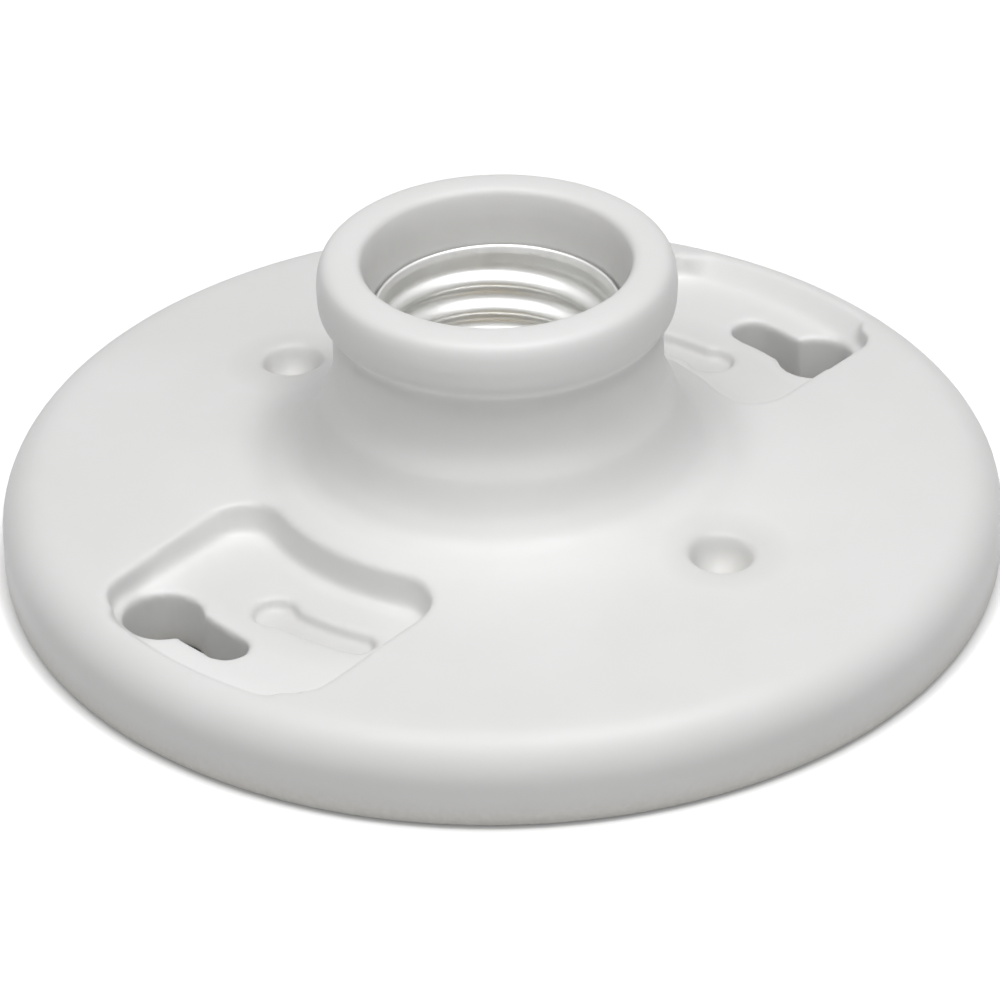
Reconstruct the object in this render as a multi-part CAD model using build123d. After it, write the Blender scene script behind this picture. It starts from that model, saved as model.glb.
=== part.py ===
from build123d import *
import os
from math import cos, radians, sin

# Keyless porcelain lampholder for a ceiling or wall outlet box, lying on its mounting face.
# Millimetres. Origin: centre of the mounting face. +Z: along the socket, out of its mouth.
# +X: through the middle of a mounting pocket. +Y: towards the neutral terminal.

# Screw shell for a medium lamp base: 26 mm, seven threads to the inch
THREAD_PITCH = 25.4 / 7
THREAD_MAJOR = 26.6
THREAD_MINOR = 25.0
THREAD_CREST = 0.9
THREAD_FOOT = 2.7
THREAD_BITE = 0.2
SHELL_SHEET = 0.45
SHELL_LIP_HEIGHT = 1.0
SHELL_LIP_FLARE = 0.25
SHELL_BEND = 1.2
SHELL_OPENING = 14.4
PLAIN_TOP = 2.1
PLAIN_BOTTOM = 4.75

# Porcelain body, outside
BASE_DIAMETER = 114.3
OVERALL_HEIGHT = 38.1
FOOT_CHAMFER = 0.8
RIM_HEIGHT = 10.5
RIM_ROUNDING = 5.3
FLANGE_RISE = 1.8
NECK_WALL = 4.4
NECK_FLARE = 12.5
COLLAR_OVERHANG = 1.55
COLLAR_HEIGHT = 7.0
COLLAR_SLOPE_HEIGHT = 0.8
COLLAR_TOP_ROUNDING = 3.1
COLLAR_LOWER_ROUNDING = 2.2
COLLAR_CREASE_ROUNDING = 0.5
DIMPLE_SPACING = 65.4
DIMPLE_ANGLE = 89.0
DIMPLE_FLOOR = 5.4
DIMPLE_DEPTH = 2.2
DIMPLE_DRAFT_ANGLE = 25.0

# Porcelain body, inside
SHELL_CLEARANCE = 0.25
MOUTH_DEPTH = 7.0
MOUTH_DRAFT = 0.85
MOUTH_ROUNDING = 1.9
WEB_THICKNESS = 3.4
CAVITY_DEPTH = 6.8
CAVITY_DRAFT = 0.7
CAVITY_CHAMFER = 1.6
BASE_WALL = 6.2

# Mounting pockets: a keyhole for an outlet box screw, and a shallow comma-shaped groove
SCREW_EDGE_DISTANCE = 12.7
COMMA_STEP = 8.3
KEY_HEAD = 9.0
KEY_HEAD_OFFSET = 1.3
KEY_SLOT = 4.8
KEY_HEAD_ANGLE = -14.2
KEY_END_ANGLE = -2.0
COMMA_HEAD = 3.0
COMMA_SLOT = 1.6
COMMA_DEPTH = 1.4
COMMA_DRAFT_ANGLE = 35.0
COMMA_HEAD_ANGLE = -3.0
COMMA_END_ANGLE = 15.0
POCKET_DEPTH = 2.6
POCKET_HEAD_MARGIN = 0.9
POCKET_SLOT_MARGIN = 4.25
POCKET_OUTER_MARGIN = 0.7
POCKET_INNER_MARGIN = 6.95
POCKET_CORNER = 4.0
POCKET_DRAFT_ANGLE = 7.0
PAD_WALL = 2.6
PAD_RECESS = 0.6

# Rivets, contact and terminals
RIVET_SHANK = 2.4
RIVET_HEAD = 4.4
RIVET_HEAD_HEIGHT = 1.0
RIVET_CLEARANCE = 0.1
SHELL_RIVET_X = 6.5
SHELL_RIVET_Y = 7.0
CONTACT_RIVET_Y = -3.4
CONTACT_SHEET = 0.6
CONTACT_WIDTH = 6.0
CONTACT_LIFT = 2.8
CONTACT_TIP_DROP = 0.5
CONTACT_TAIL = 2.4
CONTACT_BEND = 1.6
STRAP_SHEET = 0.8
STRAP_WIDTH = 8.0
STRAP_MARGIN = 3.2
STRAP_CORNER = 1.0
TERMINAL_OFFSET = 23.5
TERMINAL_REACH = 5.0
EAR_HEIGHT = 2.0
EAR_LENGTH = 6.0
EAR_GAP = 1.0

# Terminal screws, number 6 size with 32 threads to the inch
SCREW_SHANK = 3.5
SCREW_FIT = 0.08
SCREW_HEAD = 7.5
SCREW_HEAD_HEIGHT = 2.2
SCREW_HEAD_BEVEL = 0.6
SCREW_SLOT = 1.0
SCREW_SLOT_DEPTH = 1.1
SCREW_TIP_CHAMFER = 0.4
SCREW_HOLE_CLEARANCE = 0.5
SCREW_LENGTH = 4.1
SCREW_HOLE_SPARE = 0.4

# Values worked out from the sizes above
base_r = BASE_DIAMETER / 2
socket_floor = CAVITY_DEPTH + WEB_THICKNESS
shell_top = OVERALL_HEIGHT - MOUTH_DEPTH
shell_inner_r = THREAD_MAJOR / 2
shell_outer_r = shell_inner_r + SHELL_SHEET
bore_r = shell_outer_r + SHELL_LIP_FLARE + SHELL_CLEARANCE
neck_r = bore_r + NECK_WALL
collar_r = neck_r + COLLAR_OVERHANG
mouth_r = bore_r + MOUTH_DRAFT
cavity_r = base_r - BASE_WALL
flange_top = RIM_HEIGHT + FLANGE_RISE
dimple_r = DIMPLE_SPACING / 2
dimple_floor = flange_top - FLANGE_RISE * (dimple_r - neck_r) / (base_r - neck_r) - DIMPLE_DEPTH
thread_depth = (THREAD_MAJOR - THREAD_MINOR) / 2
thread_start = socket_floor + SHELL_SHEET + PLAIN_BOTTOM
thread_height = shell_top - PLAIN_TOP - thread_start
key_r = base_r - SCREW_EDGE_DISTANCE
key_head_r = key_r + KEY_HEAD_OFFSET
comma_r = key_r - COMMA_STEP
pocket_floor = RIM_HEIGHT - POCKET_DEPTH
pad_top = (CAVITY_DEPTH + RIM_HEIGHT) / 2
pocket_head_side = key_head_r * sin(radians(KEY_HEAD_ANGLE)) - KEY_HEAD / 2 - POCKET_HEAD_MARGIN
pocket_slot_side = comma_r * sin(radians(COMMA_END_ANGLE)) + COMMA_SLOT / 2 + POCKET_SLOT_MARGIN
pocket_outer_r = key_head_r + KEY_HEAD / 2 + POCKET_OUTER_MARGIN
pocket_inner_r = comma_r - COMMA_SLOT / 2 - POCKET_INNER_MARGIN
strap_bottom = CAVITY_DEPTH - STRAP_SHEET
rivet_hole_r = RIVET_SHANK / 2 + RIVET_CLEARANCE
screw_hole_top = CAVITY_DEPTH + SCREW_LENGTH - STRAP_SHEET + SCREW_HOLE_SPARE
ear_x = SCREW_HEAD / 2 + EAR_GAP
pad_half_width = ear_x + STRAP_SHEET
SECTION = Plane.XZ
shell_rivet_spots = [(-SHELL_RIVET_X, SHELL_RIVET_Y), (SHELL_RIVET_X, SHELL_RIVET_Y)]
contact_rivet_spot = (0, CONTACT_RIVET_Y)
terminal_spots = [(0, TERMINAL_OFFSET), (0, -TERMINAL_OFFSET)]


def rounded(corners):
    """Flat face with corners given as (x, y, rounding)."""
    points = [(x, y) for x, y, _ in corners]
    return make_face(FilletPolyline(*points, radius=[rounding for _, _, rounding in corners], close=True))


def turned(corners):
    """Solid of revolution about Z from half-section corners (radius, height, rounding)."""
    return revolve(SECTION * rounded(corners), Axis.Z)


def standing(sketch, bottom, top, taper=0):
    """Prism of an XY sketch between two heights."""
    return extrude(Pos(0, 0, bottom) * sketch, amount=top - bottom, taper=taper)


def at_angle(radius, angle):
    """Location on a circle about the socket axis."""
    return Pos(radius * cos(radians(angle)), radius * sin(radians(angle)))


def pocket_outline(grow=0.0):
    """Outline of a pocket's floor: two arcs about the socket axis and two parallel sides."""
    outer = pocket_outer_r + grow
    inner = pocket_inner_r - grow
    sides = (pocket_head_side - grow, pocket_slot_side + grow)
    ring = Rot(0, 0, 180) * (Circle(outer) - Circle(inner))
    sector = ring & Pos(outer / 2, sum(sides) / 2) * Rectangle(outer, sides[1] - sides[0])
    for corner in sector.vertices().filter_by(lambda v: min(abs(v.Y - side) for side in sides) < 0.01):
        spot = sector.vertices().sort_by_distance(corner.center())[0]
        sector = fillet(spot, POCKET_CORNER + grow)
    return sector


def keyhole():
    """Opening for the head of a box screw, with a slot to turn it into."""
    middle = CenterArc((0, 0), key_r, KEY_HEAD_ANGLE, KEY_END_ANGLE - KEY_HEAD_ANGLE)
    outline = SlotArc(middle, KEY_SLOT) + at_angle(key_head_r, KEY_HEAD_ANGLE) * Circle(KEY_HEAD / 2)
    return standing(outline, 0, pocket_floor + POCKET_DEPTH / 2)


def comma_groove():
    """Blind groove with a round end and sloping walls in the floor of a pocket."""
    middle = CenterArc((0, 0), comma_r, COMMA_HEAD_ANGLE, COMMA_END_ANGLE - COMMA_HEAD_ANGLE)
    bottom = pocket_floor - COMMA_DEPTH
    top = pocket_floor + POCKET_DEPTH / 2
    groove = standing(SlotArc(middle, COMMA_SLOT), bottom, top, -COMMA_DRAFT_ANGLE)
    head = at_angle(comma_r, COMMA_HEAD_ANGLE) * Circle(COMMA_HEAD / 2)
    return groove + standing(head, bottom, top, -COMMA_DRAFT_ANGLE)


def porcelain_body():
    """Pressed porcelain: round base with a hollow underside, neck, beaded collar and pockets."""
    slope_start = OVERALL_HEIGHT - COLLAR_HEIGHT - COLLAR_SLOPE_HEIGHT
    body = turned([
        (0, CAVITY_DEPTH, 0),
        (cavity_r - CAVITY_DRAFT - CAVITY_CHAMFER, CAVITY_DEPTH, 0),
        (cavity_r - CAVITY_DRAFT, CAVITY_DEPTH - CAVITY_CHAMFER, 0),
        (cavity_r, 0, 0),
        (base_r - FOOT_CHAMFER, 0, 0),
        (base_r, FOOT_CHAMFER, 0),
        (base_r, RIM_HEIGHT, RIM_ROUNDING),
        (neck_r, flange_top, NECK_FLARE),
        (neck_r, slope_start, COLLAR_CREASE_ROUNDING),
        (collar_r, OVERALL_HEIGHT - COLLAR_HEIGHT, COLLAR_LOWER_ROUNDING),
        (collar_r, OVERALL_HEIGHT, COLLAR_TOP_ROUNDING),
        (mouth_r, OVERALL_HEIGHT, MOUTH_ROUNDING),
        (bore_r, shell_top, 0),
        (bore_r, socket_floor, 0),
        (0, socket_floor, 0),
    ])
    pad = standing(pocket_outline(PAD_WALL), PAD_RECESS, pad_top)
    pocket = standing(pocket_outline(), pocket_floor, OVERALL_HEIGHT / 2, -POCKET_DRAFT_ANGLE)
    turns = [Rot(0, 0, 0), Rot(0, 0, 180)]
    for turn in turns:
        body += turn * pad
    for turn in turns:
        body -= turn * pocket
    dimple = at_angle(dimple_r, DIMPLE_ANGLE) * Circle(DIMPLE_FLOOR / 2)
    dimple = standing(dimple, dimple_floor, OVERALL_HEIGHT / 2, -DIMPLE_DRAFT_ANGLE)
    for turn in turns:
        body -= turn * keyhole()
        body -= turn * comma_groove()
        body -= turn * dimple
    for x, y in shell_rivet_spots + [contact_rivet_spot]:
        body -= standing(Pos(x, y) * Circle(rivet_hole_r), CAVITY_DEPTH, socket_floor)
    for x, y in terminal_spots:
        hole = Pos(x, y) * Circle(SCREW_SHANK / 2 + SCREW_HOLE_CLEARANCE)
        body -= standing(hole, CAVITY_DEPTH, screw_hole_top)
    return body


def helical_ridge(radius, foot, crest):
    """Ridge of trapezoid section that winds up the shell, standing inwards from a radius."""
    turn = Wire(Edge.make_helix(THREAD_PITCH, thread_height, radius))
    flank = (foot - crest) / 2 / thread_depth * THREAD_BITE
    section = Polygon(
        (THREAD_BITE, -foot / 2 - flank),
        (THREAD_BITE, foot / 2 + flank),
        (-thread_depth, crest / 2),
        (-thread_depth, -crest / 2),
        align=None,
    )
    start = Plane(origin=(radius, 0, 0), x_dir=(1, 0, 0), z_dir=(0, -1, 0))
    return Pos(0, 0, thread_start) * Solid.sweep((start * section).faces()[0], turn, is_frenet=True)


def screw_shell():
    """Rolled sheet shell: drawn cup with a flared lip, an open bottom flange and a helical thread."""
    lip_r = shell_outer_r + SHELL_LIP_FLARE
    lip_bottom = shell_top - SHELL_LIP_HEIGHT
    open_r = SHELL_OPENING / 2
    shell = turned([
        (open_r, socket_floor, 0),
        (shell_outer_r - SHELL_BEND, socket_floor, 0),
        (shell_outer_r, socket_floor + SHELL_BEND, 0),
        (shell_outer_r, lip_bottom, 0),
        (lip_r, shell_top, 0),
        (lip_r - SHELL_SHEET, shell_top, 0),
        (shell_inner_r, lip_bottom, 0),
        (shell_inner_r, socket_floor + SHELL_BEND, 0),
        (shell_outer_r - SHELL_BEND, socket_floor + SHELL_SHEET, 0),
        (open_r, socket_floor + SHELL_SHEET, 0),
    ])
    shell += helical_ridge(shell_inner_r, THREAD_FOOT, THREAD_CREST)
    shell -= helical_ridge(shell_outer_r, THREAD_FOOT - SHELL_SHEET, THREAD_CREST - SHELL_SHEET)
    for x, y in shell_rivet_spots:
        shell -= standing(Pos(x, y) * Circle(rivet_hole_r), socket_floor, socket_floor + SHELL_SHEET)
    return shell


def rivet(spot, seat, tail_seat):
    """Rivet with a bevelled head on its seat and an upset tail under the lower seat."""
    head_r = RIVET_HEAD / 2
    shank_r = RIVET_SHANK / 2
    bevel = RIVET_HEAD_HEIGHT / 2
    body = turned([
        (0, tail_seat - RIVET_HEAD_HEIGHT, 0),
        (head_r - bevel, tail_seat - RIVET_HEAD_HEIGHT, 0),
        (head_r, tail_seat - bevel, 0),
        (head_r, tail_seat, 0),
        (shank_r, tail_seat, 0),
        (shank_r, seat, 0),
        (head_r, seat, 0),
        (head_r, seat + bevel, 0),
        (head_r - bevel, seat + RIVET_HEAD_HEIGHT, 0),
        (0, seat + RIVET_HEAD_HEIGHT, 0),
    ])
    return Pos(*spot) * body


def shell_rivets():
    """The two rivets through the shell's flange, the socket floor and the neutral strap."""
    return [rivet(spot, socket_floor + SHELL_SHEET, strap_bottom) for spot in shell_rivet_spots]


def contact_rivet():
    """The rivet through the centre contact, the socket floor and the line strap."""
    return rivet(contact_rivet_spot, socket_floor + CONTACT_SHEET, strap_bottom)


def centre_contact():
    """Spring tongue: a strip riveted to the socket floor, bent up to the socket axis and over."""
    middle = socket_floor + CONTACT_SHEET / 2
    rivet_room = RIVET_HEAD / 2
    line = FilletPolyline(
        (CONTACT_RIVET_Y - CONTACT_TAIL, middle),
        (CONTACT_RIVET_Y + rivet_room + CONTACT_SHEET, middle),
        (CONTACT_BEND, middle + CONTACT_LIFT),
        (CONTACT_BEND + CONTACT_TAIL, middle + CONTACT_LIFT - CONTACT_TIP_DROP),
        radius=CONTACT_BEND,
    )
    strip = Plane.YZ * trace(line, CONTACT_SHEET)
    tongue = extrude(strip, amount=CONTACT_WIDTH / 2, both=True)
    hole = Pos(*contact_rivet_spot) * Circle(rivet_hole_r)
    return tongue - standing(hole, socket_floor, socket_floor + CONTACT_SHEET)


def terminal_strap(root, rivet_spots):
    """Strap under the socket floor: a riveted root, and a screw pad between two bent-down ears at +Y."""
    end = TERMINAL_OFFSET + TERMINAL_REACH
    pad = Pos(0, TERMINAL_OFFSET) * RectangleRounded(2 * pad_half_width, 2 * TERMINAL_REACH, STRAP_CORNER)
    first = min(y for _, y in rivet_spots) - STRAP_MARGIN
    stem = Pos(0, (first + end) / 2) * RectangleRounded(STRAP_WIDTH, end - first, STRAP_CORNER)
    plate = pad + stem
    if root:
        plate += root
    for x, y in rivet_spots:
        plate -= Pos(x, y) * Circle(rivet_hole_r)
    plate -= Pos(0, TERMINAL_OFFSET) * Circle(SCREW_SHANK / 2 + SCREW_FIT)
    strap = standing(plate, strap_bottom, CAVITY_DEPTH)
    for side in (-1, 1):
        ear = Pos(side * (ear_x + STRAP_SHEET / 2), TERMINAL_OFFSET) * Rectangle(STRAP_SHEET, EAR_LENGTH)
        strap += standing(ear, strap_bottom - EAR_HEIGHT, strap_bottom)
    return strap


def neutral_terminal():
    """T-shaped strap from both shell rivets to the neutral screw."""
    bar = Pos(0, SHELL_RIVET_Y) * RectangleRounded(
        2 * (SHELL_RIVET_X + STRAP_MARGIN), 2 * STRAP_MARGIN, STRAP_CORNER
    )
    return terminal_strap(bar, shell_rivet_spots)


def line_terminal():
    """Straight strap from the contact rivet to the line screw."""
    x, y = contact_rivet_spot
    return Rot(0, 0, 180) * terminal_strap(None, [(-x, -y)])


def terminal_screw(spot):
    """Slotted binding screw, driven home against its strap from below."""
    head_bottom = strap_bottom - SCREW_HEAD_HEIGHT
    shank_r = SCREW_SHANK / 2
    tip = strap_bottom + SCREW_LENGTH
    screw = turned([
        (0, head_bottom, 0),
        (SCREW_HEAD / 2 - SCREW_HEAD_BEVEL, head_bottom, 0),
        (SCREW_HEAD / 2, head_bottom + SCREW_HEAD_BEVEL, 0),
        (SCREW_HEAD / 2, strap_bottom, 0),
        (shank_r, strap_bottom, 0),
        (shank_r, tip - SCREW_TIP_CHAMFER, 0),
        (shank_r - SCREW_TIP_CHAMFER, tip, 0),
        (0, tip, 0),
    ])
    screw -= standing(Rectangle(SCREW_SLOT, SCREW_HEAD), head_bottom, head_bottom + SCREW_SLOT_DEPTH)
    return Pos(*spot) * screw


nodes = {
    "porcelain_body": porcelain_body(),
    "screw_shell": screw_shell(),
    "centre_contact": centre_contact(),
    "contact_rivet": contact_rivet(),
    "shell_rivets": Compound(children=shell_rivets()),
    "neutral_terminal": neutral_terminal(),
    "line_terminal": line_terminal(),
    "neutral_terminal_screw": terminal_screw(terminal_spots[0]),
    "line_terminal_screw": terminal_screw(terminal_spots[1]),
}

os.makedirs("parts", exist_ok=True)
for name, shape in nodes.items():
    export_step(shape, f"parts/{name}.step")
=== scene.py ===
from math import atan2, cos, degrees, hypot, pi, radians, sin, tau

import bmesh
import bpy
from mathutils import Matrix, Vector

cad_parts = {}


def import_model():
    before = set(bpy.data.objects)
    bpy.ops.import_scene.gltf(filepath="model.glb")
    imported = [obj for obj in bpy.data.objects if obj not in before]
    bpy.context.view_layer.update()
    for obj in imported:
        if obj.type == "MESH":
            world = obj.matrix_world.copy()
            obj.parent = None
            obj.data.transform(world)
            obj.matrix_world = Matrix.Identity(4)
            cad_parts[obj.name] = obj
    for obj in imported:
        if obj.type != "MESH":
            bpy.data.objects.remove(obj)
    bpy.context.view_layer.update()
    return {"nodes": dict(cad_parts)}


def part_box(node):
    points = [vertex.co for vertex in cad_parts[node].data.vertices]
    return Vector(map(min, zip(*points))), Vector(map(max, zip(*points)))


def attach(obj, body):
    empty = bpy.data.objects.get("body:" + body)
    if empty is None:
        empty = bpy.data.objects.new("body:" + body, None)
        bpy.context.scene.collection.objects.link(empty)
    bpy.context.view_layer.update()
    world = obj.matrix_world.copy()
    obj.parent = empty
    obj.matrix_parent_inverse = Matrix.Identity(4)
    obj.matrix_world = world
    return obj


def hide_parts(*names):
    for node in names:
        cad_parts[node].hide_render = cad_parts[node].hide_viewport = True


# Keyless porcelain lampholder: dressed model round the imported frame, in metres.

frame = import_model()
nodes = frame["nodes"]
MM = 0.001

# Camera, found from the base's outline and the thread's pitch in the photograph
IMAGE_SIZE = 1000
FOCAL_LENGTH_PX = 5277.25
SENSOR_WIDTH = 36.0
CAMERA_DISTANCE = 600 * MM
CAMERA_AZIMUTH = -138.8
CAMERA_ELEVATION = 31.709
CAMERA_ROLL = -1.3
SIGHT_POINT = Vector((0, 0, 15 * MM))
SIGHT_POINT_PX = (500.25, 427.3)
CAMERA_CLIP = (0.01, 10.0)

# Softboxes: name, degrees to the right of the camera, degrees up, width and height, power
SOFTBOX_DISTANCE = 0.8
SOFTBOXES = (
    ("front_softbox", 0, 70, (1.3, 0.9), 4.05),
    ("right_softbox", 47, 71, (0.2, 0.2), 1.76),
    ("left_softbox", -47, 71, (0.2, 0.2), 1.1),
)
AMBIENT = 0.02

# Floor: half its side, its greys to bounced light, to the eye and as painted shadow under the
# object, its glow to the eye, and the radii between which it goes over from that painted shadow to
# open floor
FLOOR_REACH = 3.0
FLOOR_BOUNCE = 0.64
FLOOR_SEEN = 0.95
# Painted shadow: grey of the floor under the object, to every ray
FLOOR_PAINTED_SHADOW = 0.18
FLOOR_GLOW = 0.45
FLOOR_OPENING = (55.2 * MM, 56.6 * MM)
FLOOR_ROUGHNESS = 0.9

# Porcelain body: grid on which its edges are worn round, how far, and the triangles kept
GLAZE_GRID = 0.4 * MM
GLAZE_ROUNDS = 14
GLAZE_SMOOTHING = 0.5
GLAZE_TRIANGLES = 185000

# Porcelain tones: noise features per metre, part of the noise used, and the values at its ends
GLAZE_WHITE = (55, (0.3, 0.7), (0.85, 0.85, 0.84), (0.88, 0.88, 0.875))
# Painted shade: the darker tone laid into the bore, the grooves and the dimples
HOLLOW_PAINTED_SHADE = (300, (0.3, 0.7), (0.56, 0.555, 0.54), (0.61, 0.605, 0.59))
GLAZE_ROUGHNESS = (120, (0.3, 0.7), 0.42, 0.5)
BISQUE_WHITE = (1400, (0.35, 0.7), (0.76, 0.74, 0.69), (0.84, 0.82, 0.78))
BISQUE_ROUGHNESS = (900, (0.3, 0.7), 0.6, 0.8)
GLAZE_IOR = 1.5
GLAZE_WAVES = 140
GLAZE_WAVE_DETAIL = 2.0
GLAZE_WAVE_DEPTH = 0.04 * MM

# Where the tones go over: dry foot by height, and painted shade in the bore by radius, in
# the grooves by height, radius and upward slope, in the dimples by distance from their middles
FOOT_EDGE = (0.1 * MM, 0.6 * MM)
BORE_PAINTED_SHADE = (14.95 * MM, 15.35 * MM)
GROOVE_PAINTED_SHADE = (7.2 * MM, 7.95 * MM)
GROOVE_REACH = (39.5 * MM, 40.5 * MM)
GROOVE_FACING = (0.0, 0.1)
DIMPLE_PAINTED_SHADE = (2.9 * MM, 4.3 * MM)
DIMPLE_MIDDLE = 9.5 * MM

# Metals: darker and brighter tone, least and most roughness, depth of the rolling marks
ALUMINIUM = ((0.8, 0.8, 0.79), (0.85, 0.85, 0.84), 0.36, 0.42, 0.003 * MM)
BRASS = ((0.64, 0.5, 0.27), (0.8, 0.66, 0.4), 0.24, 0.38, 0.01 * MM)
NICKEL = ((0.62, 0.61, 0.58), (0.74, 0.73, 0.7), 0.2, 0.34, 0.01 * MM)
TARNISH = (260, (0.35, 0.65))
METAL_ROUGHNESS = (700, (0.3, 0.7))
ROLLING_MARKS = 2500
ROLLING_DETAIL = 1.0

# Collar: flat-topped bead with a crisp inner edge, as points of its half-section in mm
BEAD_MIDDLE = (17.6, 34.5)
BEAD_SECTION = (
    (20.2, 33.6), (20.2, 34.5), (20.12, 35.3), (19.95, 36.1), (19.62, 36.8), (19.1, 37.25),
    (18.3, 37.52), (17.4, 37.62), (16.5, 37.6), (15.95, 37.5), (15.5, 37.25), (15.2, 36.85),
    (15.05, 36.35), (14.85, 35.6), (14.74, 35.0), (14.66, 34.5),
)
BEAD_FADE = 6.0

# Flare: radius that it lies outside of, and depth under the plain fillet by height, in mm
NECK_INSIDE = 17.0
FLARE_TRIM = (
    (12.3, 0.0), (12.9, -0.05), (13.6, 0.12), (14.5, 0.22), (15.5, 0.1), (16.4, -0.02),
    (17.5, -0.25), (18.8, -0.5), (19.9, -0.6), (21.0, -0.45), (22.5, -0.2), (24.0, -0.05),
    (25.5, 0.0),
)

# Dimples: bowls under their tapered mouths
DIMPLE_RADIUS = 32.7 * MM
DIMPLE_ANGLE = 89
DIMPLE_TOP = 11.75 * MM
BOWL_RADIUS = 3.4 * MM
BOWL_DEPTH = 3.9 * MM
BOWL_STEPS = 10

# Mounting pockets: steep comma-shaped recesses, and the slope up to the rim
POCKET_FLOOR = 7.9 * MM
POCKET_CLEAR = 14.0 * MM
COMMA_RADIUS = 36.15 * MM
COMMA_HALF_WIDTH = 1.8 * MM
COMMA_HEAD = 2.6 * MM
COMMA_DEPTH = 1.6 * MM
COMMA_ANGLES = (-3, 15)
SLOPE_ANGLES = (-16.4, 14.2)
SLOPE_FOOT = 50.8 * MM
SLOPE_FOOT_RISE = 0.2 * MM
SLOPE_WIDTH = 2.5 * MM
SLOPE_RISE = 2.9 * MM
SLOPE_RUN_OUT = 2.5
SLOPE_LEAST = 0.1
OUTLINE_STEPS = 32

# Rolled screw shell
THREAD_PITCH = 25.4 / 7 * MM
THREAD_DEPTH = 0.95 * MM
THREAD_START = 5.2 * MM
THREAD_RUN_OUT = 1.2 * MM
THREAD_FULLNESS = 1.15
THREAD_STOP = 2.0 * MM
SHELL_SHEET = 0.45 * MM
SHELL_LIP_FLARE = 0.25 * MM
SHELL_LIP_HEIGHT = 1.0 * MM
SHELL_BEND = 1.2 * MM
SHELL_OPENING = 7.2 * MM
SHELL_STEPS_ROUND = 180
SHELL_STEPS_UP = 112

# Small metal pieces
EDGE_BEVEL = 0.14 * MM
EDGE_ANGLE = 35
MERGE_DISTANCE = 0.001 * MM
FLAT_ANGLE = 1
RIVET_SHANK = 1.2 * MM
RIVET_HEAD_HEIGHT = 1.0 * MM
RIVET_RIM_SHARE = 0.3
RIVET_DOME_STEPS = 8
SCREW_SHANK = 1.75 * MM
SCREW_PITCH = 25.4 / 32 * MM
SCREW_THREAD_DEPTH = 0.38 * MM
SCREW_THREAD_FULLNESS = 0.8
SCREW_THREAD_RUN_OUT = 0.4 * MM
SCREW_SEAT_GAP = 0.02 * MM
SCREW_TIP = 0.9 * MM
SCREW_TIP_SHARE = 1.5
SCREW_SHANK_STEPS = 54
SCREW_HEAD_HEIGHT = 2.2 * MM
SCREW_HEAD_FLAT = 0.5
SCREW_BRIM = 0.55 * MM
SCREW_SLOT = 1.0 * MM
SCREW_SLOT_DEPTH = 1.1 * MM
SCREW_SLOT_REACH = 2.4
LATHE_STEPS = 72


def link(obj):
    """Object put into the scene."""
    bpy.context.scene.collection.objects.link(obj)
    return obj


def polar(radius, angle):
    """Plan or half-section point at a radius and an angle in degrees."""
    return radius * cos(radians(angle)), radius * sin(radians(angle))


def smoothstep(low, high, value):
    """0 below low, 1 above high, and a soft step between them."""
    share = min(max((value - low) / (high - low), 0.0), 1.0)
    return share * share * (3 - 2 * share)


def between(value, points):
    """Value on the smooth curve through points, level beyond its ends."""
    if value <= points[0][0]:
        return points[0][1]
    if value >= points[-1][0]:
        return points[-1][1]
    i = next(i for i, point in enumerate(points) if value < point[0]) - 1
    corners = points[max(i - 1, 0)], points[i], points[i + 1], points[min(i + 2, len(points) - 1)]
    (x0, y0), (x1, y1), (x2, y2), (x3, y3) = corners
    gap = x2 - x1
    t = (value - x1) / gap
    first, last = gap * (y2 - y0) / (x2 - x0), gap * (y3 - y1) / (x3 - x1)
    return (
        y1 * (1 + 2 * t) * (1 - t) ** 2 + first * t * (1 - t) ** 2
        + y2 * t * t * (3 - 2 * t) + last * t * t * (t - 1)
    )


def shader(name):
    """New material with its tree, its Principled shader and its object coordinates."""
    material = bpy.data.materials.new(name)
    material.use_nodes = True
    tree = material.node_tree
    coordinates = tree.nodes.new("ShaderNodeTexCoord").outputs["Object"]
    return material, tree, tree.nodes["Principled BSDF"], coordinates


def noise(tree, coordinates, scale, detail=3.0):
    """Noise value at a scale given in features per metre."""
    node = tree.nodes.new("ShaderNodeTexNoise")
    node.inputs["Scale"].default_value = scale
    node.inputs["Detail"].default_value = detail
    tree.links.new(coordinates, node.inputs["Vector"])
    return node.outputs["Fac"]


def ramp(tree, value, low, high, first, last):
    """Value mapped from the range low to high onto two colours or grey levels."""
    node = tree.nodes.new("ShaderNodeValToRGB")
    for element, spot, level in zip(node.color_ramp.elements, (low, high), (first, last)):
        element.position = spot
        element.color = (*level, 1) if isinstance(level, tuple) else (level, level, level, 1)
    tree.links.new(value, node.inputs["Fac"])
    return node.outputs["Color"]


def length(tree, vector):
    """Length of a vector output."""
    node = tree.nodes.new("ShaderNodeVectorMath")
    node.operation = "LENGTH"
    tree.links.new(vector, node.inputs[0])
    return node.outputs["Value"]


def maths(tree, operation, first, second):
    """Number from two number or grey outputs."""
    node = tree.nodes.new("ShaderNodeMath")
    node.operation = operation
    tree.links.new(first, node.inputs[0])
    tree.links.new(second, node.inputs[1])
    return node.outputs["Value"]


def blend(tree, factor, first, second):
    """Colour mix of two colour outputs, or of a plain grey and an output, by a factor output."""
    node = tree.nodes.new("ShaderNodeMix")
    node.data_type = "RGBA"
    for socket, value in (("Factor", factor), ("A", first), ("B", second)):
        target = [s for s in node.inputs if s.name == socket and s.enabled][0]
        if isinstance(value, float):
            target.default_value = (value, value, value, 1)
        else:
            tree.links.new(value, target)
    return [s for s in node.outputs if s.enabled][0]


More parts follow.
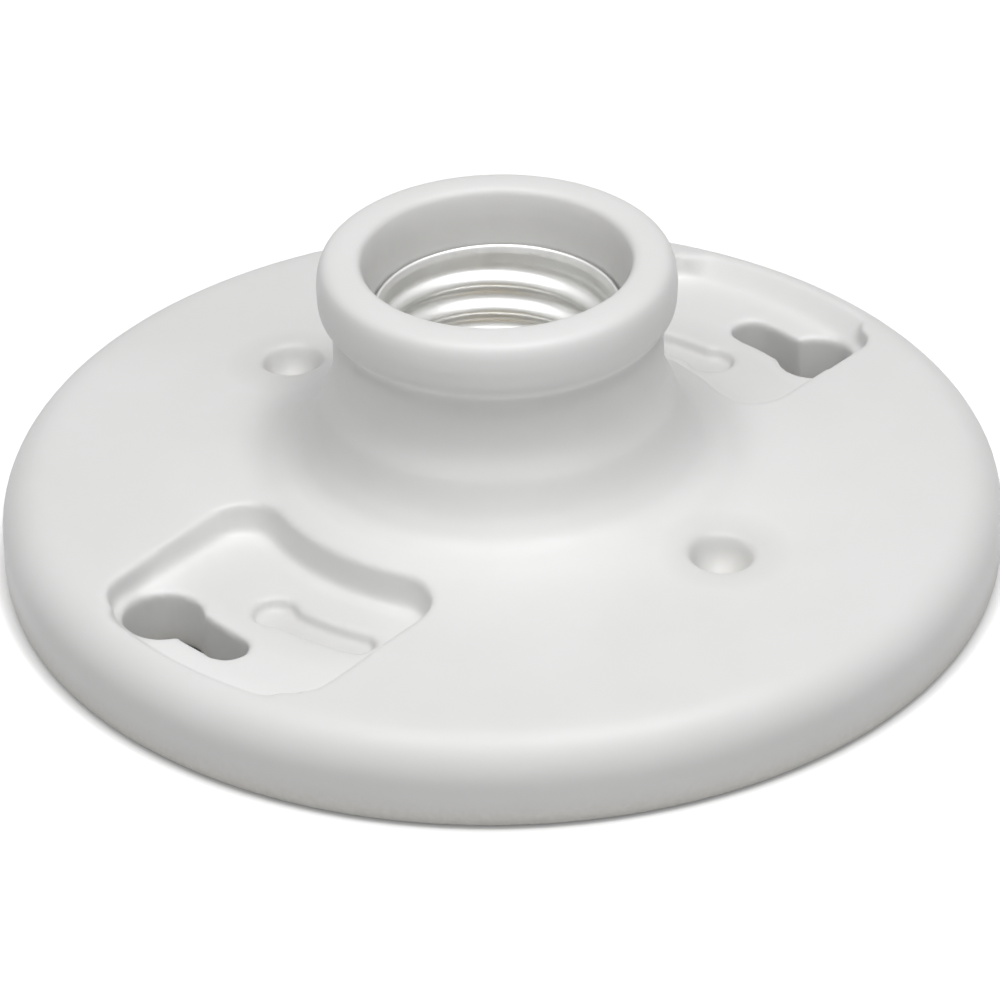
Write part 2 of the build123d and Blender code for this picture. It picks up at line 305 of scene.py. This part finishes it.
def bump(tree, principled, height, distance):
    """Fine relief of a given depth on a shader."""
    node = tree.nodes.new("ShaderNodeBump")
    node.inputs["Distance"].default_value = distance
    node.inputs["Strength"].default_value = 1.0
    tree.links.new(height, node.inputs["Height"])
    tree.links.new(node.outputs["Normal"], principled.inputs["Normal"])


def clouded(tree, place, scale, part, first, last):
    """Colour or grey that drifts between two values with a noise."""
    return ramp(tree, noise(tree, place, scale), *part, first, last)


def painted_hollow_shade(tree, place, split):
    """Mask of painted shade: 1 in the socket's bore, the pockets' grooves and the dimples, 0
    elsewhere.
    """
    plan = tree.nodes.new("ShaderNodeCombineXYZ")
    for axis in "XY":
        tree.links.new(split.outputs[axis], plan.inputs[axis])
    reach = length(tree, plan.outputs["Vector"])
    bore = ramp(tree, reach, *BORE_PAINTED_SHADE, 1.0, 0.0)
    geometry = tree.nodes.new("ShaderNodeNewGeometry")
    facing = tree.nodes.new("ShaderNodeSeparateXYZ")
    tree.links.new(geometry.outputs["Normal"], facing.inputs["Vector"])
    deep = ramp(tree, split.outputs["Z"], *GROOVE_PAINTED_SHADE, 1.0, 0.0)
    near = ramp(tree, reach, *GROOVE_REACH, 1.0, 0.0)
    upward = ramp(tree, facing.outputs["Z"], *GROOVE_FACING, 0.0, 1.0)
    groove = maths(tree, "MULTIPLY", maths(tree, "MULTIPLY", deep, near), upward)
    mirrored = tree.nodes.new("ShaderNodeVectorMath")
    mirrored.operation = "ABSOLUTE"
    tree.links.new(place, mirrored.inputs[0])
    away = tree.nodes.new("ShaderNodeVectorMath")
    away.operation = "DISTANCE"
    tree.links.new(mirrored.outputs["Vector"], away.inputs[0])
    away.inputs[1].default_value = (*polar(DIMPLE_RADIUS, DIMPLE_ANGLE), DIMPLE_MIDDLE)
    dimple = ramp(tree, away.outputs["Value"], *DIMPLE_PAINTED_SHADE, 1.0, 0.0)
    return maths(tree, "MAXIMUM", bore, maths(tree, "MAXIMUM", groove, dimple))


def porcelain_glaze():
    """White glaze with faint clouding and a wavy gloss, painted shade in the hollows, and a dry
    foot.
    """
    material, tree, principled, place = shader("porcelain_glaze")
    split = tree.nodes.new("ShaderNodeSeparateXYZ")
    tree.links.new(place, split.inputs["Vector"])
    foot = ramp(tree, split.outputs["Z"], *FOOT_EDGE, 1.0, 0.0)
    # thin is the painted shade tone, blended into the white glaze in the bore, grooves and dimples
    white, thin = clouded(tree, place, *GLAZE_WHITE), clouded(tree, place, *HOLLOW_PAINTED_SHADE)
    glaze = blend(tree, painted_hollow_shade(tree, place, split), white, thin)
    bisque = clouded(tree, place, *BISQUE_WHITE)
    tree.links.new(blend(tree, foot, glaze, bisque), principled.inputs["Base Color"])
    gloss = clouded(tree, place, *GLAZE_ROUGHNESS)
    rough = clouded(tree, place, *BISQUE_ROUGHNESS)
    tree.links.new(blend(tree, foot, gloss, rough), principled.inputs["Roughness"])
    principled.inputs["IOR"].default_value = GLAZE_IOR
    waves = noise(tree, place, GLAZE_WAVES, GLAZE_WAVE_DETAIL)
    bump(tree, principled, waves, GLAZE_WAVE_DEPTH)
    return material


def sheet_metal(name, dark, bright, rough_low, rough_high, marks):
    """Plated or plain sheet with cloudy tarnish and fine rolling marks."""
    material, tree, principled, place = shader(name)
    tarnish = clouded(tree, place, *TARNISH, dark, bright)
    tree.links.new(tarnish, principled.inputs["Base Color"])
    rough = clouded(tree, place, *METAL_ROUGHNESS, rough_low, rough_high)
    tree.links.new(rough, principled.inputs["Roughness"])
    principled.inputs["Metallic"].default_value = 1.0
    bump(tree, principled, noise(tree, place, ROLLING_MARKS, ROLLING_DETAIL), marks)
    return material


def add_piece(name, mesh, material, body, node):
    """Shown piece that stands for a CAD node and moves with its body."""
    mesh.materials.clear()
    mesh.materials.append(material)
    piece = link(bpy.data.objects.new(name, mesh))
    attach(piece, body)
    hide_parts(node)
    return piece


def evaluated(obj):
    """Mesh of an object with its modifiers applied. The object itself is removed."""
    graph = bpy.context.evaluated_depsgraph_get()
    mesh = bpy.data.meshes.new_from_object(obj.evaluated_get(graph))
    bpy.data.objects.remove(obj)
    return mesh


def as_mesh(name, bm, smooth_angle=None):
    """Mesh from a bmesh, smooth all over or up to an edge angle."""
    bmesh.ops.recalc_face_normals(bm, faces=bm.faces)
    mesh = bpy.data.meshes.new(name)
    bm.to_mesh(mesh)
    bm.free()
    mesh.shade_smooth()
    if smooth_angle:
        mesh.set_sharp_from_angle(angle=radians(smooth_angle))
    return mesh


def ring_grid(bm, rings, closed):
    """Faces between rings of vertices, and from the last ring back to the first if closed."""
    nexts = rings[1:] + rings[:1] if closed else rings[1:]
    for low, high in zip(rings, nexts):
        count = len(low)
        for i in range(count):
            j = (i + 1) % count
            bm.faces.new((low[i], low[j], high[j], high[i]))


def turned_round(bm):
    """The same cutter again at the opposite side of the socket."""
    other = bmesh.ops.duplicate(bm, geom=bm.verts[:] + bm.edges[:] + bm.faces[:])
    verts = [item for item in other["geom"] if isinstance(item, bmesh.types.BMVert)]
    bmesh.ops.rotate(bm, verts=verts, cent=(0, 0, 0), matrix=Matrix.Rotation(pi, 3, "Z"))


def lofted(name, sections):
    """Cutter through closed sections of as many points each, at both sides of the socket."""
    bm = bmesh.new()
    rings = [[bm.verts.new(spot) for spot in section] for section in sections]
    ring_grid(bm, rings, closed=False)
    bm.faces.new(rings[0])
    bm.faces.new(rings[-1])
    turned_round(bm)
    return link(bpy.data.objects.new(name, as_mesh(name, bm)))


def comma_cutters():
    """Round head and curved tail of the comma-shaped recesses in the pockets' floors."""
    first, last = COMMA_ANGLES
    turns = [i / OUTLINE_STEPS for i in range(OUTLINE_STEPS + 1)]
    tail = [polar(COMMA_RADIUS + COMMA_HALF_WIDTH, first + (last - first) * t) for t in turns]
    end = polar(COMMA_RADIUS, last)
    cap = [polar(COMMA_HALF_WIDTH, last + 180 * t) for t in turns[1:-1]]
    tail += [(end[0] + x, end[1] + y) for x, y in cap]
    tail += [polar(COMMA_RADIUS - COMMA_HALF_WIDTH, last + (first - last) * t) for t in turns]
    head = polar(COMMA_RADIUS, first)
    disc = [polar(COMMA_HEAD, 360 * t) for t in turns[:-1]]
    disc = [(head[0] + x, head[1] + y) for x, y in disc]
    levels = (POCKET_FLOOR - COMMA_DEPTH, POCKET_CLEAR)
    return [
        lofted(name, [[(x, y, z) for x, y in outline] for z in levels])
        for name, outline in (("comma_tail", tail), ("comma_head", disc))
    ]


def slope_cutter():
    """Wedge that lays the pockets' outer walls back towards the rim, less so at its ends."""
    first, last = SLOPE_ANGLES
    foot = POCKET_FLOOR + SLOPE_FOOT_RISE
    sections = []
    for i in range(OUTLINE_STEPS + 1):
        angle = first + (last - first) * i / OUTLINE_STEPS
        share = smoothstep(0, SLOPE_RUN_OUT, angle - first)
        share *= smoothstep(0, SLOPE_RUN_OUT, last - angle)
        back = SLOPE_FOOT + max(share, SLOPE_LEAST) * SLOPE_WIDTH
        corners = (
            (SLOPE_FOOT, foot), (back, foot + SLOPE_RISE), (back, POCKET_CLEAR),
            (SLOPE_FOOT - SLOPE_WIDTH, POCKET_CLEAR), (SLOPE_FOOT - SLOPE_WIDTH, foot),
        )
        sections.append([(*polar(r, angle), z) for r, z in corners])
    return lofted("pocket_slope", sections)


def bowl_cutter():
    """Round hollows that deepen the two dimples of the flange."""
    x, y = polar(DIMPLE_RADIUS, DIMPLE_ANGLE)
    turns = [360 * i / OUTLINE_STEPS for i in range(OUTLINE_STEPS)]
    sections = []
    for i in range(1, BOWL_STEPS):
        around, up = polar(1, -90 + 180 * i / BOWL_STEPS)
        ring = [polar(around * BOWL_RADIUS, turn) for turn in turns]
        sections.append([(x + dx, y + dy, DIMPLE_TOP + up * BOWL_DEPTH) for dx, dy in ring])
    return lofted("dimple_bowl", sections)


def bead_polar(r, z):
    """Angle and distance from the bead's middle, in degrees upward from the outside and in mm."""
    out, up = r - BEAD_MIDDLE[0], z - BEAD_MIDDLE[1]
    angle = degrees(atan2(up, out))
    return angle + 360 if angle < -90 else angle, hypot(out, up)


def reshaped(mesh):
    """Collar and flare brought from plain roundings to the moulding's fuller curves."""
    bead = [bead_polar(r, z) for r, z in BEAD_SECTION]
    first, last = bead[0][0], bead[-1][0]
    normals = [vertex.normal.copy() for vertex in mesh.vertices]
    for vertex, normal in zip(mesh.vertices, normals):
        reach, height = hypot(vertex.co.x, vertex.co.y) / MM, vertex.co.z / MM
        angle, _ = bead_polar(reach, height)
        if height > BEAD_SECTION[0][1] and first < angle < last:
            share = smoothstep(0, BEAD_FADE, min(angle - first, last - angle))
            out, up = polar(between(angle, bead), angle)
            scale = 1 + share * ((out + BEAD_MIDDLE[0]) / reach - 1)
            rise = share * (up + BEAD_MIDDLE[1] - height)
            vertex.co = vertex.co.x * scale, vertex.co.y * scale, (height + rise) * MM
        elif reach > NECK_INSIDE:
            vertex.co -= normal * between(height, FLARE_TRIM) * MM
    return mesh


def softened(node, grid, rounds, triangles, cutters):
    """Closed copy of a CAD node with finer cuts and worn edges, reshaped and thinned out."""
    copy = link(bpy.data.objects.new(node + "_copy", nodes[node].data.copy()))
    for cutter in cutters:
        cut = copy.modifiers.new(cutter.name, "BOOLEAN")
        cut.object = cutter
        cut.solver = "EXACT"
    remesh = copy.modifiers.new("even_grid", "REMESH")
    remesh.mode = "VOXEL"
    remesh.voxel_size = grid
    remesh.use_smooth_shade = True
    smooth = copy.modifiers.new("worn_round", "SMOOTH")
    smooth.factor = GLAZE_SMOOTHING
    smooth.iterations = rounds
    fine = evaluated(copy)
    for cutter in cutters:
        bpy.data.objects.remove(cutter)
    count = sum(len(face.vertices) - 2 for face in fine.polygons)
    copy = link(bpy.data.objects.new(node + "_fine", reshaped(fine)))
    thin = copy.modifiers.new("thinned_out", "DECIMATE")
    thin.ratio = min(1.0, triangles / count)
    mesh = evaluated(copy)
    mesh.shade_smooth()
    return mesh


def bevelled(node, width):
    """Copy of a CAD node with its sharp edges broken, as stamped and deburred sheet has them."""
    bm = bmesh.new()
    bm.from_mesh(nodes[node].data)
    bmesh.ops.remove_doubles(bm, verts=bm.verts, dist=MERGE_DISTANCE)
    flat = radians(FLAT_ANGLE)
    bmesh.ops.dissolve_limit(bm, angle_limit=flat, verts=bm.verts, edges=bm.edges)
    joined = [edge for edge in bm.edges if len(edge.link_faces) == 2]
    sharp = [edge for edge in joined if edge.calc_face_angle() > radians(EDGE_ANGLE)]
    bmesh.ops.bevel(
        bm, geom=sharp, offset=width, segments=2, profile=0.5, affect="EDGES", clamp_overlap=True
    )
    return as_mesh(node + "_bevelled", bm, EDGE_ANGLE)


def lathe(bm, profile, centre, radius_at=None):
    """Solid of revolution, from axis to axis. radius_at may vary the radius along a turn."""
    rings = []
    for r, z in profile[1:-1]:
        ring = []
        for i in range(LATHE_STEPS):
            turn = tau * i / LATHE_STEPS
            reach = radius_at(r, z, turn) if radius_at else r
            x, y = centre[0] + reach * cos(turn), centre[1] + reach * sin(turn)
            ring.append(bm.verts.new((x, y, z)))
        rings.append(ring)
    ring_grid(bm, rings, closed=False)
    for (_, z), ring in ((profile[0], rings[0]), (profile[-1], rings[-1])):
        tip = bm.verts.new((centre[0], centre[1], z))
        for i in range(LATHE_STEPS):
            bm.faces.new((ring[i], ring[(i + 1) % LATHE_STEPS], tip))


def arc(centre, radius, first, last, steps=8):
    """Points on an arc in a half-section, angles in degrees from the outward direction."""
    angles = [radians(first + (last - first) * i / steps) for i in range(steps + 1)]
    return [(centre[0] + radius * cos(a), centre[1] + radius * sin(a)) for a in angles]


def shell_mesh():
    """Drawn cup with a flared lip and a rolled round thread, as one closed sheet."""
    low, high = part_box("screw_shell")
    outer_r = (high.x - low.x) / 2 - SHELL_LIP_FLARE
    inner_r = outer_r - SHELL_SHEET
    floor_z, top_z = low.z, high.z
    lip_z = top_z - SHELL_LIP_HEIGHT
    bend_centre = (outer_r - SHELL_BEND, floor_z + SHELL_BEND)
    inner_bend = SHELL_BEND - SHELL_SHEET
    edge = SHELL_SHEET / 2

    def lip(z):
        return SHELL_LIP_FLARE * smoothstep(lip_z, top_z, z)

    def wall(radius):
        first, last = bend_centre[1], top_z - edge
        heights = [first + (last - first) * i / SHELL_STEPS_UP for i in range(SHELL_STEPS_UP + 1)]
        return [(radius + lip(z), z) for z in heights]

    inside = [(SHELL_OPENING, floor_z + SHELL_SHEET)]
    inside += arc(bend_centre, inner_bend, -90, 0)[:-1] + wall(inner_r)
    outside = wall(outer_r)[::-1] + arc(bend_centre, SHELL_BEND, 0, -90)[1:]
    outside.append((SHELL_OPENING, floor_z))
    rolled_edge = arc((inner_r + edge + lip(top_z), top_z - edge), edge, 180, 0)[1:-1]
    profile = inside + rolled_edge + outside

    def thread(z, turn):
        """Depth of the thread at a height and a turn: one rounded ridge that winds up the wall."""
        first, last = floor_z + THREAD_START, top_z - THREAD_STOP
        phase = (z - first) / THREAD_PITCH - turn / tau
        form = (0.5 + 0.5 * cos(tau * phase)) ** THREAD_FULLNESS
        fade = smoothstep(first - THREAD_RUN_OUT, first, z)
        fade *= 1 - smoothstep(last - THREAD_RUN_OUT, last, z)
        return THREAD_DEPTH * form * fade

    bm = bmesh.new()
    rings = []
    for r, z in profile:
        ring = []
        for i in range(SHELL_STEPS_ROUND):
            turn = tau * i / SHELL_STEPS_ROUND
            reach = r - thread(z, turn)
            ring.append(bm.verts.new((reach * cos(turn), reach * sin(turn), z)))
        rings.append(ring)
    ring_grid(bm, rings, closed=True)
    return as_mesh("screw_shell_rolled", bm, EDGE_ANGLE)


def rivet_profile(low, high, head_r):
    """Rivet from tail to head: both ends domed, with a rim under each dome."""
    rise = RIVET_HEAD_HEIGHT
    rim = RIVET_RIM_SHARE * rise
    turns = [pi / 2 * i / RIVET_DOME_STEPS for i in range(RIVET_DOME_STEPS + 1)]
    dome = [(head_r * cos(turn), sin(turn) * (rise - rim)) for turn in turns]
    tail = [(r, low + rise - rim - z) for r, z in dome[::-1]]
    head = [(r, high - rise + rim + z) for r, z in dome]
    below, above = low + rise, high - rise
    shank = [(head_r, below), (RIVET_SHANK, below), (RIVET_SHANK, above), (head_r, above)]
    return tail + shank + head


def spots_of(node):
    """Centres of a node's round solids in plan, from its box: one, or two side by side along X."""
    low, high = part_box(node)
    half = (high.y - low.y) / 2
    y = (low.y + high.y) / 2
    first, last = low.x + half, high.x - half
    return [(x, y) for x in ((first, last) if last - first > half else (first,))]


def rivet_mesh(node):
    """Domed rivets in the places of a node's plain ones."""
    low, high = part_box(node)
    head_r = (high.y - low.y) / 2
    bm = bmesh.new()
    for spot in spots_of(node):
        lathe(bm, rivet_profile(low.z, high.z, head_r), spot)
    return as_mesh(node + "_domed", bm, EDGE_ANGLE)


def screw_mesh(node):
    """Binding screw: slotted head with a rounded brim, and a threaded shank with a bevelled tip."""
    low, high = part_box(node)
    centre = ((low.x + high.x) / 2, (low.y + high.y) / 2)
    head_r = (high.x - low.x) / 2
    seat = low.z + SCREW_HEAD_HEIGHT
    brim, edge = SCREW_BRIM, SCREW_BRIM / 2
    rises = [(high.z - seat) * i / SCREW_SHANK_STEPS for i in range(SCREW_SHANK_STEPS + 1)]
    profile = [(0, low.z), (SCREW_HEAD_FLAT * head_r, low.z)]
    profile += arc((head_r - brim, low.z + brim), brim, -90, 0)
    profile += arc((head_r - edge, seat - edge), edge, 0, 90, 4)
    profile += [(SCREW_SHANK, seat + rise) for rise in rises] + [(0, high.z)]

    def thread(r, z, turn):
        """Radius with the thread cut in, run out under the head and bevelled at the tip."""
        if z < seat + SCREW_SEAT_GAP or r > SCREW_SHANK:
            return r
        phase = ((z - seat) / SCREW_PITCH - turn / tau) % 1.0
        groove = abs(2 * phase - 1) ** SCREW_THREAD_FULLNESS
        groove *= smoothstep(seat, seat + SCREW_THREAD_RUN_OUT, z)
        point = SCREW_TIP_SHARE * smoothstep(high.z - SCREW_TIP, high.z, z)
        return r - SCREW_THREAD_DEPTH * max(groove, point)

    bm = bmesh.new()
    lathe(bm, profile, centre, thread)
    screw = link(bpy.data.objects.new(node + "_turned", as_mesh(node + "_turned", bm)))
    bm = bmesh.new()
    size = Matrix.Diagonal((SCREW_SLOT, SCREW_SLOT_REACH * head_r, 2 * SCREW_SLOT_DEPTH, 1))
    bmesh.ops.create_cube(bm, size=1.0, matrix=Matrix.Translation((*centre, low.z)) @ size)
    cutter = link(bpy.data.objects.new(node + "_slot", as_mesh(node + "_slot", bm)))
    cut = screw.modifiers.new("slot", "BOOLEAN")
    cut.object = cutter
    cut.solver = "EXACT"
    mesh = evaluated(screw)
    bpy.data.objects.remove(cutter)
    bm = bmesh.new()
    bm.from_mesh(mesh)
    return as_mesh(node + "_cut", bm, EDGE_ANGLE)


def dress():
    """All shown pieces, each for its CAD node and on its body."""
    glaze = porcelain_glaze()
    aluminium = sheet_metal("shell_aluminium", *ALUMINIUM)
    brass = sheet_metal("brass", *BRASS)
    nickel = sheet_metal("nickel_plate", *NICKEL)
    holder = "lampholder"
    cutters = comma_cutters() + [slope_cutter(), bowl_cutter()]
    body = softened("porcelain_body", GLAZE_GRID, GLAZE_ROUNDS, GLAZE_TRIANGLES, cutters)
    add_piece("glazed_body", body, glaze, holder, "porcelain_body")
    add_piece("rolled_shell", shell_mesh(), aluminium, holder, "screw_shell")
    for node, finish, slot in (
        ("centre_contact", brass, "brass"),
        ("neutral_terminal", nickel, "nickel_plate"),
        ("line_terminal", brass, "brass"),
    ):
        add_piece(node + "_strip", bevelled(node, EDGE_BEVEL), finish, holder, node)
    for node, finish, slot in (
        ("contact_rivet", brass, "brass"),
        ("shell_rivets", nickel, "nickel_plate"),
    ):
        add_piece(node + "_domed", rivet_mesh(node), finish, holder, node)
    for side, finish, slot in (("neutral", nickel, "nickel_plate"), ("line", brass, "brass")):
        node = side + "_terminal_screw"
        add_piece(node + "_slotted", screw_mesh(node), finish, side + "_screw", node)


def seen_rays(tree):
    """1 for rays that show the backdrop: straight to the camera, mirrored or through glass."""
    path = tree.nodes.new("ShaderNodeLightPath")
    total = path.outputs["Is Camera Ray"]
    for extra in ("Is Glossy Ray", "Is Transmission Ray"):
        total = maths(tree, "MAXIMUM", total, path.outputs[extra])
    return total


def by_rays(tree, hidden, seen):
    """Value that is one thing to rays that show the backdrop and another to bounced light."""
    level = tree.nodes.new("ShaderNodeMapRange")
    level.inputs["To Min"].default_value = hidden
    level.inputs["To Max"].default_value = seen
    tree.links.new(seen_rays(tree), level.inputs["Value"])
    return level.outputs["Result"]


def world():
    """White backdrop with a weaker ambient light."""
    surroundings = bpy.data.worlds.new("studio")
    surroundings.use_nodes = True
    bpy.context.scene.world = surroundings
    tree = surroundings.node_tree
    background = tree.nodes["Background"]
    tree.links.new(by_rays(tree, AMBIENT, 1.0), background.inputs["Strength"])
    background.inputs["Color"].default_value = (1, 1, 1, 1)


def floor():
    """Plain pale floor, white to the camera round the object, greyer to bounced light, with a
    painted shadow under the object.
    """
    mesh = bpy.data.meshes.new("floor")
    signs = ((-1, -1), (1, -1), (1, 1), (-1, 1))
    corners = [(x * FLOOR_REACH, y * FLOOR_REACH, 0) for x, y in signs]
    mesh.from_pydata(corners, [], [(0, 1, 2, 3)])
    plane = link(bpy.data.objects.new("floor", mesh))
    material, tree, principled, place = shader("floor_paper")
    principled.inputs["Emission Color"].default_value = (1, 1, 1, 1)
    opening = ramp(tree, length(tree, place), *FLOOR_OPENING, 0.0, 1.0)
    # Painted shadow: inside the opening radii the floor takes a dark grey to every ray and has no
    # glow
    colour = blend(tree, opening, FLOOR_PAINTED_SHADOW, by_rays(tree, FLOOR_BOUNCE, FLOOR_SEEN))
    tree.links.new(colour, principled.inputs["Base Color"])
    glow = maths(tree, "MULTIPLY", by_rays(tree, 0.0, FLOOR_GLOW), opening)
    tree.links.new(glow, principled.inputs["Emission Strength"])
    principled.inputs["Roughness"].default_value = FLOOR_ROUGHNESS
    principled.inputs["Specular IOR Level"].default_value = 0.0
    mesh.materials.append(material)


def softbox(name, place, aim, size, power):
    """Rectangular lamp at a place, turned towards its aim."""
    light = bpy.data.lights.new(name, "AREA")
    light.shape = "RECTANGLE"
    light.size, light.size_y = size
    light.energy = power
    lamp = link(bpy.data.objects.new(name, light))
    lamp.location = place
    lamp.rotation_mode = "QUATERNION"
    lamp.rotation_quaternion = (aim - place).to_track_quat("-Z", "Y")


def camera():
    """Camera at the photograph's angle and roll, with the sight point on its pixel."""
    azimuth, elevation = radians(CAMERA_AZIMUTH), radians(CAMERA_ELEVATION)
    away = Vector((cos(elevation) * cos(azimuth), cos(elevation) * sin(azimuth), sin(elevation)))
    data = bpy.data.cameras.new("camera")
    data.sensor_width = SENSOR_WIDTH
    data.lens = SENSOR_WIDTH * FOCAL_LENGTH_PX / IMAGE_SIZE
    data.clip_start, data.clip_end = CAMERA_CLIP
    eye = link(bpy.data.objects.new("camera", data))
    across = (SIGHT_POINT_PX[0] - IMAGE_SIZE / 2) / FOCAL_LENGTH_PX
    down = (IMAGE_SIZE / 2 - SIGHT_POINT_PX[1]) / FOCAL_LENGTH_PX
    turn = (-away).to_track_quat("-Z", "Y").to_matrix().to_4x4()
    turn = turn @ Matrix.Rotation(radians(CAMERA_ROLL), 4, "Z")
    turn = turn @ Matrix.Rotation(-down, 4, "X") @ Matrix.Rotation(across, 4, "Y")
    eye.matrix_world = Matrix.Translation(SIGHT_POINT + away * CAMERA_DISTANCE) @ turn
    bpy.context.scene.camera = eye
    return away


dress()
world()
floor()
towards_camera = camera()
flat = Vector((towards_camera.x, towards_camera.y, 0)).normalized()
for name, turn, rise, size, power in SOFTBOXES:
    ray = Matrix.Rotation(radians(turn), 3, "Z") @ flat * cos(radians(rise))
    ray.z = sin(radians(rise))
    softbox(name, ray * SOFTBOX_DISTANCE, Vector((0, 0, 0)), size, power)
bpy.context.scene.view_settings.view_transform = "Standard"
